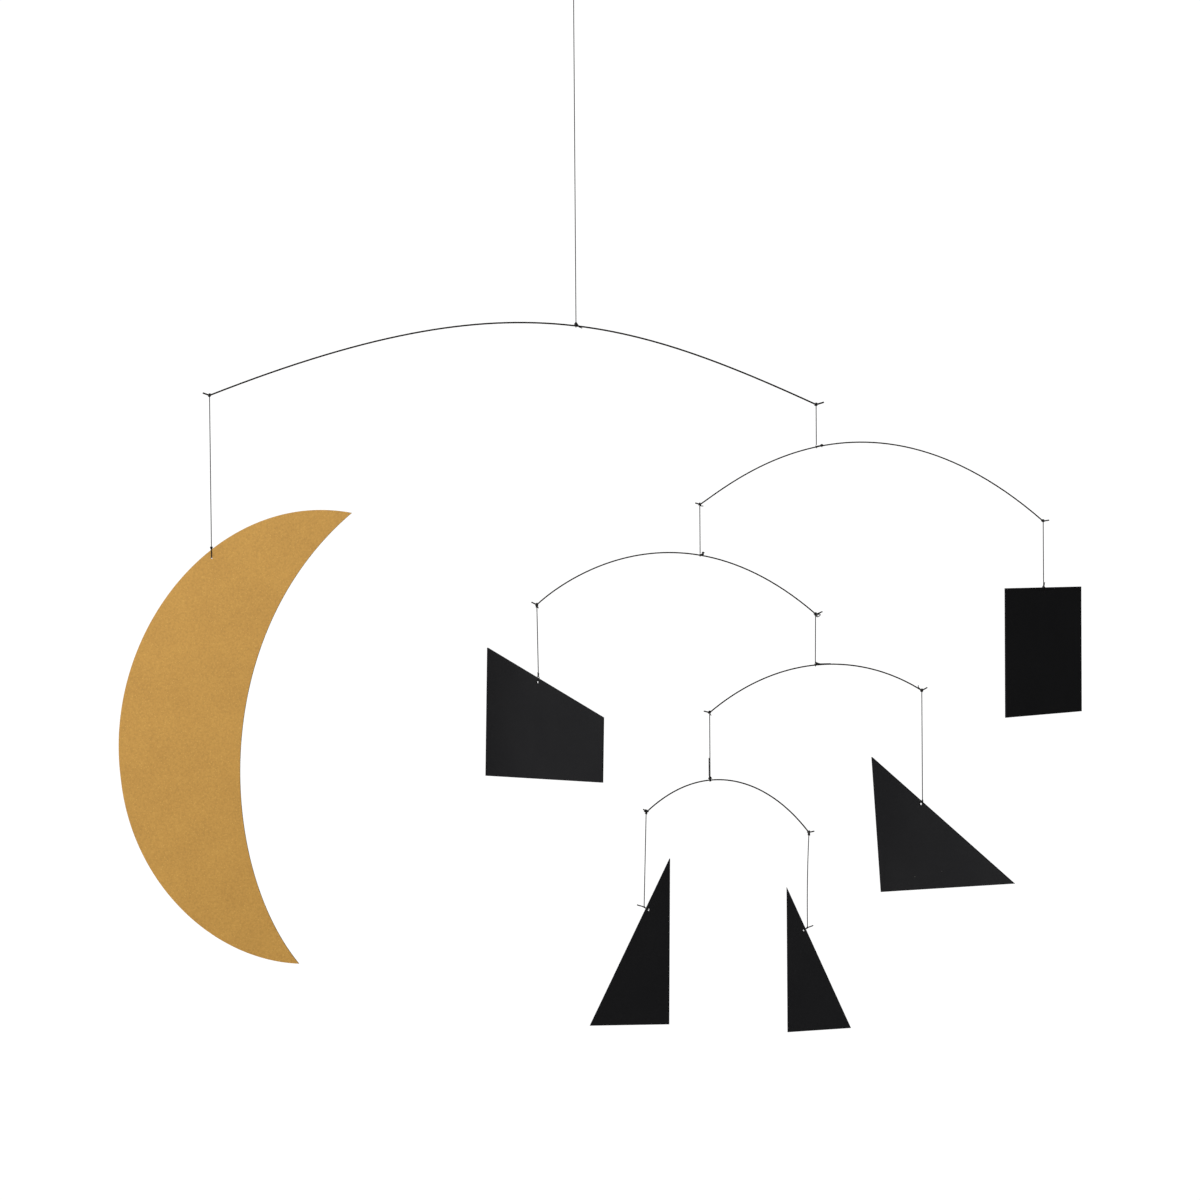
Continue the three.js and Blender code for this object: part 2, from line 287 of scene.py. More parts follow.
def ramp(tree, source, stops):
    """Turns a value into colours. Each stop is a place from 0 to 1 and a colour."""
    node = add(tree, "ValToRGB", links={"Fac": source})
    elements = node.color_ramp.elements
    elements[0].position, elements[0].color = stops[0]
    elements[1].position, elements[1].color = stops[-1]
    for position, colour in stops[1:-1]:
        elements.new(position).color = colour
    return node.outputs["Color"]


def blend(tree, share, one, other):
    return add(tree, "MixRGB", {"Fac": share}, {"Color1": one, "Color2": other}).outputs["Color"]


def raise_by(tree, shader, source, strength, depth):
    """Lets a value raise the surface by a depth in metres."""
    bump = add(tree, "Bump", {"Strength": strength, "Distance": depth}, {"Height": source})
    tree.links.new(bump.outputs["Normal"], shader.inputs["Normal"])


# Thin card with a bronze-powder print. The powder lies in a sandy grain: 1 to 2 mm clumps, a little
# lighter and darker, with bright specks between them, under a dull varnish.
gold_card, tree, shader, at = finish("bronze_printed_card", Roughness=0.52, Metallic=0.25)
clumps = noise(tree, at, 620, 3, 0.65)
cloud = noise(tree, at, 34, 2)
specks = add(tree, "TexVoronoi", {"Scale": 480, "Randomness": 1.0}, {"Vector": at})
grain = ramp(tree, clumps, [(0.28, linear("#a97c31")), (0.5, linear("#c6943e")), (0.74, linear("#d7a74e"))])
tone = ramp(tree, cloud, [(0.3, linear("#bf8e3b")), (0.7, linear("#cb9942"))])
printed = blend(tree, 0.5, grain, tone)
bright = ramp(tree, specks.outputs["Distance"], [(0.08, linear("#ffffff")), (0.2, linear("#000000"))])
sprinkled = add(tree, "MixRGB", {"Color2": linear("#dcaf54")}, {"Fac": bright, "Color1": printed})
tree.links.new(sprinkled.outputs["Color"], shader.inputs["Base Color"])
raise_by(tree, shader, clumps, 0.25, 0.0001)

# Card dyed black through and through, calendered smooth: next to no sheen, and a faint felt-like
# fibre grain of about 1 mm that shows only where light grazes it.
black_card, tree, shader, at = finish("dyed_black_card", Roughness=0.62, Specular_IOR_Level=0.2)
felt = noise(tree, at, 900, 4, 0.7)
cloud = noise(tree, at, 26, 2)
fibre = ramp(tree, felt, [(0.3, linear("#141416")), (0.72, linear("#202022"))])
tone = ramp(tree, cloud, [(0.3, linear("#17171a")), (0.7, linear("#1d1d1f"))])
tree.links.new(blend(tree, 0.5, fibre, tone), shader.inputs["Base Color"])
raise_by(tree, shader, felt, 0.2, 0.00008)


def cut_pulp(name, roughness, shine, dark, pale):
    """The cut side of a card: its pulp in layers of 0.2 mm."""
    material, tree, shader, at = finish(name, Roughness=roughness, Specular_IOR_Level=shine)
    layers = noise(tree, at, 2500, 3, 0.6)
    pulp = ramp(tree, layers, [(0.3, linear(dark)), (0.7, linear(pale))])
    tree.links.new(pulp, shader.inputs["Base Color"])
    raise_by(tree, shader, layers, 0.4, 0.0001)
    return material


# The printed card's pulp is brown, pressed dark by the knife. The black card's is dyed too, torn a
# little open, so duller and greyer than its faces.
gold_edge = cut_pulp("cut_brown_pulp", 0.85, 0.2, "#6f5630", "#9b7a45")
black_edge = cut_pulp("cut_black_pulp", 0.9, 0.15, "#161617", "#262628")

# Hard-drawn spring wire with its dark oxide skin: a near-black brown metal, blotched over a few
# millimetres where fingers bent it, and dull rather than bright.
spring_wire, tree, shader, at = finish("dark_spring_wire", Metallic=1.0)
blotch = noise(tree, at, 160, 3, 0.6)
fleck = noise(tree, at, 1800, 2)
skin = ramp(tree, blotch, [(0.32, linear("#26221f")), (0.68, linear("#3f3a35"))])
worn = ramp(tree, fleck, [(0.35, linear("#231f1c")), (0.7, linear("#4a443d"))])
tree.links.new(blend(tree, 0.35, skin, worn), shader.inputs["Base Color"])
dull = add(tree, "MapRange", {"To Min": 0.34, "To Max": 0.52}, {"Value": blotch})
tree.links.new(dull.outputs["Result"], shader.inputs["Roughness"])
raise_by(tree, shader, fleck, 0.15, 0.00003)

# Waxed black-brown sewing thread, three plies twisted once a millimetre: a dull, hairy line with a
# slanting rib. The rib is drawn at 1 mm, coarser than the ply, so that it shows close up.
sewing_thread, tree, shader, at = finish("waxed_sewing_thread", Roughness=0.78, Sheen_Weight=0.05)
slant = add(tree, "Mapping", {"Rotation": (0, radians(35), 0)}, {"Vector": at}).outputs["Vector"]
wave = {"Scale": 320, "Distortion": 0.6, "Detail": 1, "bands_direction": "Z"}
plies = add(tree, "TexWave", wave, {"Vector": slant}).outputs["Fac"]
hair = noise(tree, at, 3200, 2, 0.6)
ply = ramp(tree, plies, [(0.2, linear("#0c0b0b")), (0.8, linear("#1b1917"))])
lint = ramp(tree, hair, [(0.35, linear("#0e0d0c")), (0.75, linear("#24211f"))])
tree.links.new(blend(tree, 0.35, ply, lint), shader.inputs["Base Color"])
raise_by(tree, shader, plies, 0.5, 0.00006)


# Knots to copy

KNOT_POINTS = 54
KNOT_DEPTH = 2.1


def trefoil(name, size):
    """An overhand knot pulled tight, round the origin: size is its outside radius in millimetres."""
    reach = (size - THREAD) / 3
    points = []
    for i in range(KNOT_POINTS):
        t = 2 * pi * i / KNOT_POINTS
        x = reach * (sin(t) + 2 * sin(2 * t))
        z = reach * (cos(t) - 2 * cos(2 * t))
        points.append((x, -KNOT_DEPTH * reach * sin(3 * t), z))
    return solid(strand(name, points, THREAD, closed=True))


hook_knot = trefoil("hook_knot", 1.1)
board_knot = trefoil("board_knot", 0.86)
small_knot = trefoil("small_knot", 0.72)
heavy_knot = trefoil("heavy_knot", 1.3)


# The lines of the wires

# Each corner of a wire is a round bend that starts and ends this far from it
BEND_REACH = 1.2

# Points along the bow of a wire, and along each kink and bend, from which places on it are read. Of
# the five parts of its route the third is the bow, and the first and the last are straight kinks.
BOW_POINTS = 1600
KINK_POINTS = 24
BOW = 2
KINKS = (0, 4)


def towards(start, angle, reach, side):
    """The point at a reach from the start, at an angle above the level, to the right for side 1."""
    return (start[0] + side * reach * cos(radians(angle)), start[1] + reach * sin(radians(angle)))


def bend_handle(point, corner):
    return tuple(p + 2 / 3 * (c - p) for p, c in zip(point, corner))


def wire_route(arm):
    """The places and handles of a wire: kink, round bend, long bow, round bend, kink."""
    left = arm["corner"]
    right = (left[0] + arm["span"], left[1] + arm["rise"])
    tip = towards(left, *arm["left_kink"], -1)
    out = towards(left, arm["left_kink"][0], BEND_REACH, -1)
    inside = towards(left, arm["left"][0], BEND_REACH, 1)
    pull = towards(left, *arm["left"], 1)
    far_pull = towards(right, *arm["right"], -1)
    far_inside = towards(right, arm["right"][0], BEND_REACH, -1)
    far_out = towards(right, arm["right_kink"][0], BEND_REACH, 1)
    far_tip = towards(right, *arm["right_kink"], 1)
    return [
        (tip, tip, out),
        (out, tip, bend_handle(out, left)),
        (inside, bend_handle(inside, left), pull),
        (far_inside, far_pull, bend_handle(far_inside, right)),
        (far_out, bend_handle(far_out, right), far_tip),
        (far_tip, far_out, far_tip),
    ]


def cubic(a, b, c, d, t):
    """The point of a bezier curve at t from 0 to 1."""
    s = 1 - t
    shares = (s**3, 3 * s * s * t, 3 * s * t * t, t**3)
    return tuple(sum(share * p for share, p in zip(shares, row)) for row in zip(a, b, c, d))


def wire_line(arm):
    """Points close together along the middle of a wire, as x and z."""
    route = wire_route(arm)
    line = []
    for number, ((a, _, b), (d, c, _)) in enumerate(zip(route, route[1:])):
        steps = BOW_POINTS if number == BOW else KINK_POINTS
        if number in KINKS:
            b, c = a, d
        line += [cubic(a, b, c, d, i / steps) for i in range(steps)]
    return line + [route[-1][0]]


LINES = {name: wire_line(arm) for name, arm in ARMS.items()}


def along(line, x, reach):
    """The point of a wire's line that lies a reach further along than x, and its direction there."""
    here = min(range(len(line)), key=lambda i: abs(line[i][0] - x))
    step = 1 if reach > 0 else -1
    left = abs(reach)
    point = line[here]
    while left > 0 and 0 < here + step < len(line) - 1:
        gap = hypot(line[here + step][0] - line[here][0], line[here + step][1] - line[here][1])
        if gap > left:
            point = tuple(a + left / gap * (b - a) for a, b in zip(line[here], line[here + step]))
            break
        left -= gap
        here += step
        point = line[here]
    before = line[max(here - 1, 0)]
    after = line[min(here + 1, len(line) - 1)]
    long = hypot(after[0] - before[0], after[1] - before[1])
    return point, ((after[0] - before[0]) / long, (after[1] - before[1]) / long)


def on_wire(arm_name, x, reach, height, front):
    """The place at a reach along a wire from x, at a height above its middle and in front of it."""
    (px, pz), (dx, dz) = along(LINES[arm_name], x, reach)
    return (px - dz * height, -front, pz + dx * height)


# Points for each turn of thread round a wire
TURN_POINTS = 14


def winding(name, arm_name, x, start, end, turns=None, phase=0.0):
    """Thread wound round a wire, turn beside turn, from one reach along it to another."""
    turns = turns or abs(end - start) / (2 * THREAD + TURN_GAP)
    radius = ARMS[arm_name]["wire"] + THREAD + CLEAR
    steps = ceil(turns * TURN_POINTS)
    points = []
    for i in range(steps + 1):
        share = i / steps
        angle = phase + 2 * pi * turns * share
        reach = start + share * (end - start)
        points.append(on_wire(arm_name, x, reach, radius * cos(angle), radius * sin(angle)))
    return solid(strand(name, points, THREAD))


# Threads

# A thread has a point every 6 mm, but at least 16 and at most 41 of them
THREAD_STEP = 6
FEWEST_STEPS = 15
MOST_STEPS = 40

hung = {}


def hang_thread(name, top, foot, body, node, far_end, bow=0.0):
    """A taut thread from its upper to its lower end, in millimetres."""
    long = hypot(foot[0] - top[0], foot[1] - top[1])
    count = max(FEWEST_STEPS, min(MOST_STEPS, ceil(long / THREAD_STEP)))
    points = []
    for i in range(count + 1):
        share = i / count
        x = top[0] + share * (foot[0] - top[0]) + 4 * bow * share * (1 - share)
        points.append((x, 0, top[1] + share * (foot[1] - top[1])))
    piece = strand(name, points, THREAD)
    settle(piece, body, "thread", sewing_thread)
    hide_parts(node)
    length = sum(hypot(b[0] - a[0], b[2] - a[2]) for a, b in zip(points, points[1:]))
    hung[name] = (piece, points, length, far_end)


# The one that everything hangs from goes up from the top wire's tie to the knot under its loop
tie_x, tie_z = ARMS["top"]["tie"]
hang_thread(
    "hanging_line_thread", (tie_x, tie_z + TOP_WIRE + OVER_TIE), (0, THREAD - LOOP_REACH), "hanging_line",
    "hanging_thread", "knot",
)

for name, row in THREADS.items():
    top = (row["top"][0], row["top"][1] - ARMS[row["arm"]]["wire"] - UNDER_HOOK)
    over = ARMS[row_name(name)]["wire"] + OVER_TIE if name.endswith("_arm") else OVER_KNOT
    foot = (row["foot"][0], row["foot"][1] + over)
    hang_thread(
        name + "_line_thread", top, foot, line_body(name), name + "_thread", "object", row.get("bow", 0),
    )

# The tied loop at the very top, a long drop that narrows into its knot
bpy.ops.object.select_all(action="DESELECT")
bpy.ops.curve.primitive_bezier_circle_add(location=(0, 0, 0))
peak = THREAD
neck = peak - LOOP_REACH
route = [
    ((0, neck), (-0.9, neck + 1.6), (0.9, neck + 1.6)),
    ((LOOP_HALF_WIDTH, -3.1), (LOOP_HALF_WIDTH, -5.6), (LOOP_HALF_WIDTH, -1.1)),
    ((0, peak), (1.5, peak), (-1.5, peak)),
    ((-LOOP_HALF_WIDTH, -3.1), (-LOOP_HALF_WIDTH, -1.1), (-LOOP_HALF_WIDTH, -5.6)),
]
hanging_loop = bend(bpy.context.object, "hanging_loop", route, THREAD, LOOP_STEPS, THREAD_ROUND)
loop_knot = place(copy(hook_knot, "hanging_loop_knot"), (0, 0, neck))
loop_tail = solid(strand(
    "hanging_loop_tail",
    [(0.3, -0.2, -12), (0.7, -0.4, -12.9), (1.0, -0.45, -14), (1.1, -0.4, -15.2)],
    THREAD,
))
for piece in (hanging_loop, loop_knot, loop_tail):
    settle(piece, "hanging_line", "thread", sewing_thread)


# Wires

# Steps between two places of a wire's route
WIRE_STEPS = 56

for name, arm in ARMS.items():
    bpy.ops.object.select_all(action="DESELECT")
    bpy.ops.curve.primitive_bezier_curve_add(location=(0, 0, 0))
    wire = bend(
        bpy.context.object, name + "_bowed_wire", wire_route(arm), arm["wire"], WIRE_STEPS, WIRE_ROUND
    )
    settle(wire, name + "_wire", "steel_wire", spring_wire)
    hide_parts(name + "_arm")


# Boards

# Each board as the frame has it: tilt leans it in its own plane and turn swings it about its thread,
# knot is where its knot lies from the hole, and rim how far the edge lies from the hole that way.
# front is how far the knot sits before the board. hole is a radius, for most boards wider than in the
# frame, because the real holes look that open.
BOARDS = {
    "moon": dict(
        node="gold_moon", tilt=-7.4, turn=-12.6, knot=(-0.2, 7.9), rim=6.8, hole=0.7, front=0.5,
    ),
    "rectangle": dict(
        node="black_rectangle", tilt=-0.3, turn=62.8, knot=(-0.45, 4), rim=3.3, hole=1.15,
    ),
    "trapezoid": dict(
        node="black_trapezoid", tilt=-2.1, turn=-54.8, knot=(0.8, 6.3), rim=3.3, hole=1.35,
    ),
    "large_triangle": dict(
        node="large_black_triangle", tilt=5.5, turn=-52.4, knot=(1.8, 2.7), rim=2.2, hole=1.35,
    ),
    "left_triangle": dict(
        node="left_small_triangle", tilt=-0.8, turn=31.4, knot=(-4.1, 2.3), rim=2.7, hole=0.9,
    ),
    "right_triangle": dict(
        node="right_small_triangle", tilt=0, turn=14, knot=(3.1, 2), rim=1.95, hole=0.72,
    ),
}

# How far the handles of a circle's four places reach, as a share of its radius
CIRCLE_HANDLE = 0.5523
HOLE_STEPS = 8
CURVED_STEPS = 72
SOFT_RIM = 0.1
RIM_ANGLE = radians(35)
BOARD_SMOOTH = radians(15)

# How squarely a face looks the way the board does, from 0 to 1: below SIDE it is of the cut side, and
# above FLAT of the flat front or back
SIDE = 0.6
FLAT = 0.99


def hole_by_edge(start, end, reach, inset, side=1):
    """A hole beside the straight edge between two corners, a reach along it and an inset within it."""
    long = hypot(end[0] - start[0], end[1] - start[1])
    ex, ey = (end[0] - start[0]) / long, (end[1] - start[1]) / long
    return (start[0] + ex * reach + side * ey * inset, start[1] + ey * reach - side * ex * inset)


def sheet(name, corners, hole, radius):
    """A board cut to its outline, with its hole punched, in metres in its own plane.

    A corner is its place, with the handles before and after it where the edge is curved."""
    bpy.ops.object.select_all(action="DESELECT")
    bpy.ops.curve.primitive_bezier_circle_add(location=(0, 0, 0))
    obj = bpy.context.object
    obj.name = name
    cut = obj.data
    cut.name = name
    cut.dimensions = "2D"
    cut.fill_mode = "BOTH"
    ring = cut.splines[0]
    ring.resolution_u = HOLE_STEPS
    h = CIRCLE_HANDLE * radius
    for quarter, point in enumerate(ring.bezier_points):
        point.handle_left_type = point.handle_right_type = "FREE"
        a = quarter * pi / 2
        x, y = hole[0] + radius * cos(a), hole[1] + radius * sin(a)
        point.co = (x, y, 0)
        point.handle_left = (x + h * sin(a), y - h * cos(a), 0)
        point.handle_right = (x - h * sin(a), y + h * cos(a), 0)
    outline = cut.splines.new("BEZIER")
    outline.bezier_points.add(len(corners) - 1)
    outline.use_cyclic_u = True
    outline.resolution_u = CURVED_STEPS if len(corners[0]) > 1 else 1
    for point, (middle, *handles) in zip(outline.bezier_points, corners):
        point.handle_left_type = point.handle_right_type = "FREE" if handles else "VECTOR"
        point.co = middle
        if handles:
            point.handle_left, point.handle_right = handles
    cut.extrude = BOARD / 2 * MM
    mesh_of(obj)
    return obj


def soften_rims(obj):
    """Takes the sharpness off the rims of a board and of its hole."""
    rims = obj.modifiers.new("soft rims", "BEVEL")
    rims.width = SOFT_RIM * MM
    rims.segments = 2
    rims.limit_method = "ANGLE"
    rims.angle_limit = RIM_ANGLE
    bpy.ops.object.modifier_apply(modifier=rims.name)


def dress_board(obj, face, edge):
    """Gives a board's flat sides one finish and its cut side another, with smooth rims between."""
    dress(obj, face, edge)
    bpy.ops.object.shade_smooth_by_angle(angle=BOARD_SMOOTH)
    for side in obj.data.polygons:
        side.material_index = 1 if abs(side.normal.z) < SIDE else 0
        side.select = abs(side.normal.z) > FLAT
    bpy.ops.object.mode_set(mode="EDIT")
    bpy.ops.mesh.faces_shade_flat()
    bpy.ops.object.mode_set(mode="OBJECT")


def punched_board(key, corners, hole, face, edge):
    """Makes a board from its corners and hole, in millimetres, and hangs it from its knot.

    A corner is a list of its place, and of the handles before and after it where the edge is curved."""
    row = BOARDS[key]
    tilt = radians(row["tilt"])

    def on_board(p):
        x, y = p[0] - hole[0], p[1] - hole[1]
        x, y = x * cos(tilt) - y * sin(tilt), x * sin(tilt) + y * cos(tilt)
        return ((x - row["knot"][0]) * MM, (y - row["knot"][1]) * MM, 0)

    places = [[on_board(p) for p in corner] for corner in corners]
    obj = sheet(key + "_board", places, on_board(hole), row["hole"] * MM)
    soften_rims(obj)
    dress_board(obj, face, edge)
    foot = THREADS[key]["foot"]
    place(obj, (foot[0], 0, foot[1]), (90, 0, row["turn"]))
    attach(obj, key)
    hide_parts(row["node"])


# The moon stands on its lower tip. Both edges are given as shares of how high it is and of how far the
# outer and the inner one bulge, and its hole by how far along the upper outer edge it is punched.
high = 353.2
belly = 161.1
hollow = 81
HOLE_SHARE = 0.397
HOLE_INSET = 5.3
NEXT = 0.0005
outer = ((0, high), (-0.68 * belly, 1.019 * high), (-1.186 * belly, 0.668 * high), (-belly, 0.349 * high))
moon_corners = [
    (outer[0], (-1.286 * hollow, 0.692 * high), outer[1]),
    (outer[3], outer[2], (-0.883 * belly, 0.122 * high)),
    ((0, 0), (-0.428 * belly, -0.021 * high), (-0.922 * hollow, 0.191 * high)),
]
here = cubic(*outer, HOLE_SHARE)
soon = cubic(*outer, HOLE_SHARE + NEXT)
step = hypot(soon[0] - here[0], soon[1] - here[1])
inward = (-(soon[1] - here[1]) / step, (soon[0] - here[0]) / step)
moon_hole = (here[0] + inward[0] * HOLE_INSET, here[1] + inward[1] * HOLE_INSET)
punched_board("moon", moon_corners, moon_hole, gold_card, gold_edge)


def black_board(key, corners, hole):
    """A board of black card with straight edges from corner to corner."""
    punched_board(key, [[c] for c in corners], hole, black_card, black_edge)


# The rectangle
RECTANGLE_WIDTH = 157.1
RECTANGLE_HEIGHT = 99.2
corners = [(0, 0), (RECTANGLE_WIDTH, 0), (RECTANGLE_WIDTH, RECTANGLE_HEIGHT), (0, RECTANGLE_HEIGHT)]
black_board("rectangle", corners, hole_by_edge(corners[3], corners[2], 78.9, 3.2))

# The trapezoid, whose sides are upright and whose foot rises to the right
TRAPEZOID_WIDTH = 160.4
FOOT_RISE = 6.6
TALL_SIDE = 101.8
SHORT_SIDE = 50.1
right_top = (TRAPEZOID_WIDTH, FOOT_RISE + SHORT_SIDE)
corners = [(0, 0), (TRAPEZOID_WIDTH, FOOT_RISE), right_top, (0, TALL_SIDE)]
black_board("trapezoid", corners, hole_by_edge(corners[3], corners[2], 74.5, 3.1))


def triangle(key, upright, foot, corner, reach, inset, side):
    """A triangle whose upright and foot meet at a corner, in degrees. The foot runs to the right for side 1
    and to the left for side -1. The hole is a reach down the long edge and an inset within it."""
    toe = (side * foot * sin(radians(corner)), foot * cos(radians(corner)))
    hole = hole_by_edge((0, upright), toe, reach, inset, side)
    black_board(key, [(0, 0), toe, (0, upright)], hole)


triangle("large_triangle", 106.8, 156.1, 90, 67.7, 2.1, 1)
triangle("left_triangle", 130.1, 72.5, 88.2, 44, 2.7, -1)
triangle("right_triangle", 113.3, 51.6, 88.2, 36.6, 1.9, 1)


# Hooks, ties and board loops

thread_extras = {name: [] for name in hung}


def tied(obj, body, thread, *nodes):
    """A knot, winding or tail of thread: it moves with the body and belongs to a thread."""
    settle(obj, body, "thread", sewing_thread)
    if nodes:
        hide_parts(*nodes)
    thread_extras[thread + "_line_thread"].append(obj)


def tail(name, points, body, thread, radius=THREAD):
    """A short free end of thread through the points, in millimetres."""
    tied(solid(strand(name, points, radius)), body, thread)


# Each hook: how far its turns run along the wire, and how far its knot stands above the wire's middle.
# The others have the usual turns and a knot just under the wire.
HOOKS = {
    "third_arm": dict(turns=(-0.7, 0.7), knot=-0.28),
    "rectangle": dict(turns=(-1.1, 0.6), knot=-0.5),
    "bottom_arm": dict(turns=(-0.8, 0.8), knot=-0.3),
    "large_triangle": dict(turns=(-0.8, 0.8), knot=-0.95),
    "left_triangle": dict(turns=(-1.2, 1.4), knot=-0.3),
    "right_triangle": dict(turns=(-0.8, 0.8), knot=-0.1),
}
USUAL_TURNS = (-0.8, 0.8)
UNDER_WIRE = 0.25
TURNS_PER_MM = 1.6

# How far the knots of hooks and of ties sit before the wire, and their turn about the upright
HOOK_KNOT_FRONT = 0.35
HOOK_KNOT_TURN = 20
TIE_KNOT_FRONT = 0.1
TIE_KNOT_TURN = -15
END_KNOT_FRONT = 0.25
END_KNOT_TURN = 10

for name, row in THREADS.items():
    x, z = row["top"]
    arm_name = row["arm"]
    hook = HOOKS.get(name, dict(turns=USUAL_TURNS, knot=-ARMS[arm_name]["wire"] - UNDER_WIRE))
    start, end = hook["turns"]
    turns = winding(name + "_hook_winding", arm_name, x, start, end, TURNS_PER_MM * (end - start), pi)
    tied(turns, arm_name + "_wire", name)
    pattern = heavy_knot if name == "left_triangle" else hook_knot
    where = (x, -HOOK_KNOT_FRONT, z + hook["knot"])
    knot = place(copy(pattern, name + "_hook_knot"), where, (0, 0, HOOK_KNOT_TURN))
    tied(knot, line_body(name), name)

thread_extras["hanging_line_thread"] += [hanging_loop, loop_knot, loop_tail]


def hug(name, arm_name, thread, steps):
    """Thread that keeps to a wire. Each step is the reach along it from its tie, the height above its
    middle and the distance in front of it."""
    x = ARMS[arm_name]["tie"][0]
    tail(name, [on_wire(arm_name, x, *step) for step in steps], arm_name + "_wire", thread)


# Each tie: how far its turns run along the wire, to the left and to the right of the thread, how high
# its knot stands, and the turns that the free end takes further along
TIES = {
    "top": dict(turns=(-0.33, 0.33), knot=0.5, thread="hanging"),
    "second": dict(turns=(-0.33, 0.33), further=(3.9, 4.9), thread="second_arm"),
    "third": dict(turns=(-0.33, 0.33), thread="third_arm"),
    "fourth": dict(turns=(-0.33, 0.33), thread="fourth_arm"),
    "bottom": dict(turns=(-0.6, 0.6), knot=0.7, thread="bottom_arm"),
}

# The two legs that run down from the thread over a tie's knot, from that knot's middle
LEGS = [(-1.4, -0.3, -0.2), (-0.3, -0.5, 1.5), (0.3, -0.5, 1.5), (1.4, -0.3, -0.2)]
for name, row in TIES.items():
    x, z = ARMS[name]["tie"]
    thread = row["thread"]
    tied(winding(name + "_tie_turns", name, x, *row["turns"]), name + "_tie", thread, name + "_arm_tie")
    if "knot" in row:
        middle = z + ARMS[name]["wire"] + row["knot"]
        where = (x, -TIE_KNOT_FRONT, middle)
        knot = place(copy(hook_knot, name + "_tie_knot"), where, (0, 0, TIE_KNOT_TURN))
        tied(knot, name + "_tie", thread)
        legs = [(x + across, y, middle + up) for across, y, up in LEGS]
        tail(name + "_tie_legs", legs, name + "_tie", thread)
    if "further" in row:
        tied(winding(name + "_end_turns", name, x, *row["further"]), name + "_wire", thread)


def end_knot(name, arm_name, thread, reach, height, pattern):
    """A knot that sits on a wire, at a reach from its tie."""
    where = on_wire(arm_name, ARMS[arm_name]["tie"][0], reach, height, END_KNOT_FRONT)
    knot = place(copy(pattern, name), where, (0, 0, END_KNOT_TURN))
    tied(knot, arm_name + "_wire", thread)


# The second wire's free end lies along it to a knot of its own
hug("second_tie_lay", "second", "second_arm", [(0.4 + 0.5 * i, 0.45, 0.64) for i in range(8)])
end_knot("second_end_knot", "second", "second_arm", 4.4, 0.6, hook_knot)

# The third wire's free end stands up beside its tie in two small knots, one on the other
hug("third_tie_lay", "third", "third_arm", [
    (0.2, 0.7, 0.5), (0.7, 0.8, 0.5), (1.2, 0.9, 0.4), (1.8, 1.1, 0.3),
])
end_knot("third_end_knot", "third", "third_arm", 1.8, 0.95, hook_knot)
end_knot("third_upper_knot", "third", "third_arm", 1.95, 2.25, hook_knot)

# The fourth wire's free end comes down from the thread to the wire in two slanting runs
hug("fourth_tie_slant", "fourth", "fourth_arm", [
    (0.1, 2.5, 0.35), (1.0, 1.9, 0.5), (2.0, 1.3, 0.6), (3.0, 0.9, 0.6), (4.0, 0.6, 0.7),
    (8.0, 0.5, 0.74), (12.0, 0.45, 0.78),
])
hug("fourth_tie_run", "fourth", "fourth_arm", [
    (0.1, 1.5, 0.35), (0.8, 1.15, 0.5), (1.6, 0.8, 0.7), (2.6, 0.35, 0.88),
])
end_knot("fourth_end_knot", "fourth", "fourth_arm", 0.9, 1.2, board_knot)

# Where a board's knot stands this far over the rim, the two sides of its loop run together down to it
TOGETHER = 1.4
BOARD_KNOTS = {"moon": heavy_knot, "large_triangle": small_knot}


def half_loop(reach, rim, level):
    """Half of a board's loop, from its knot over the rim and into the hole. Each point is how far it lies
    from the hole towards the knot, and how far before the middle of the board."""
    off = BOARD / 2 + THREAD + TURN_GAP
    near = THREAD + CLEAR
    if reach - rim > TOGETHER:
        down = [(reach - 0.35, near), (rim + 0.9, near), (rim + 0.45, 0.82), (rim - 0.1, off)]
    else:
        down = [(reach - 0.35, 0.4), (rim + 0.15, off), (rim - 0.4, off)]
    return [
        (reach, 0.05), *down,
        ((rim + level) / 2, off), (level + 0.5, off), (level + 0.16, off - 0.06), (level, off - 0.25),
    ]


for name, row in BOARDS.items():
    x, z = THREADS[name]["foot"]
    reach, lean = hypot(*row["knot"]), atan2(*row["knot"])
    level = row["hole"] - THREAD - CLEAR
    front = half_loop(reach, row["rim"], level)
    back = [(s, -n) for s, n in reversed(front)]
    swing = radians(row["turn"])
    around = []
    for s, n in [*front, (level, 0), *back]:
        u, w = (s - reach) * sin(lean), (s - reach) * cos(lean)
        around.append((x + u * cos(swing) + n * sin(swing), u * sin(swing) - n * cos(swing), z + w))
    tied(solid(strand(name + "_board_loop", around, THREAD)), name, name, name + "_knot")
    pattern = BOARD_KNOTS.get(name, board_knot)
    where = (x, -row.get("front", 0), z)
    knot = place(copy(pattern, name + "_board_knot"), where, (0, 0, row["turn"] / 2))
    tied(knot, name, name)

# Over the top wire to the right of its tie, down in front of it and on beneath it
hug("top_tie_tail", "top", "hanging", [
    (0.5, 1.7, 0.3), (1.2, 1.1, 0.6), (1.9, 0.4, 1.0), (2.6, -0.2, 0.98), (3.4, -0.75, 0.7),
    (4.2, -1.1, 0.2), (5.0, -1.2, 0),
])
hug("top_tie_lap", "top", "hanging", [
    (0.3, 1.0, 0.5), (0.9, 0.6, 0.8), (1.6, 0.0, 1.02), (2.3, -0.5, 0.9), (3.0, -0.9, 0.5),
])

# A free end that goes up beside the bottom wire's thread
x, z = ARMS["bottom"]["tie"]
beside = 2 * THREAD + CLEAR
upwards = [(x - 0.1, -0.45, z + 1.6), (x - 0.45, -0.4, z + 2.4)]
upwards += [(x - beside, 0, z + 3.4 + 1.4 * i) for i in range(11)]
tail("bottom_tie_tail", upwards, "bottom_line", "bottom_arm")


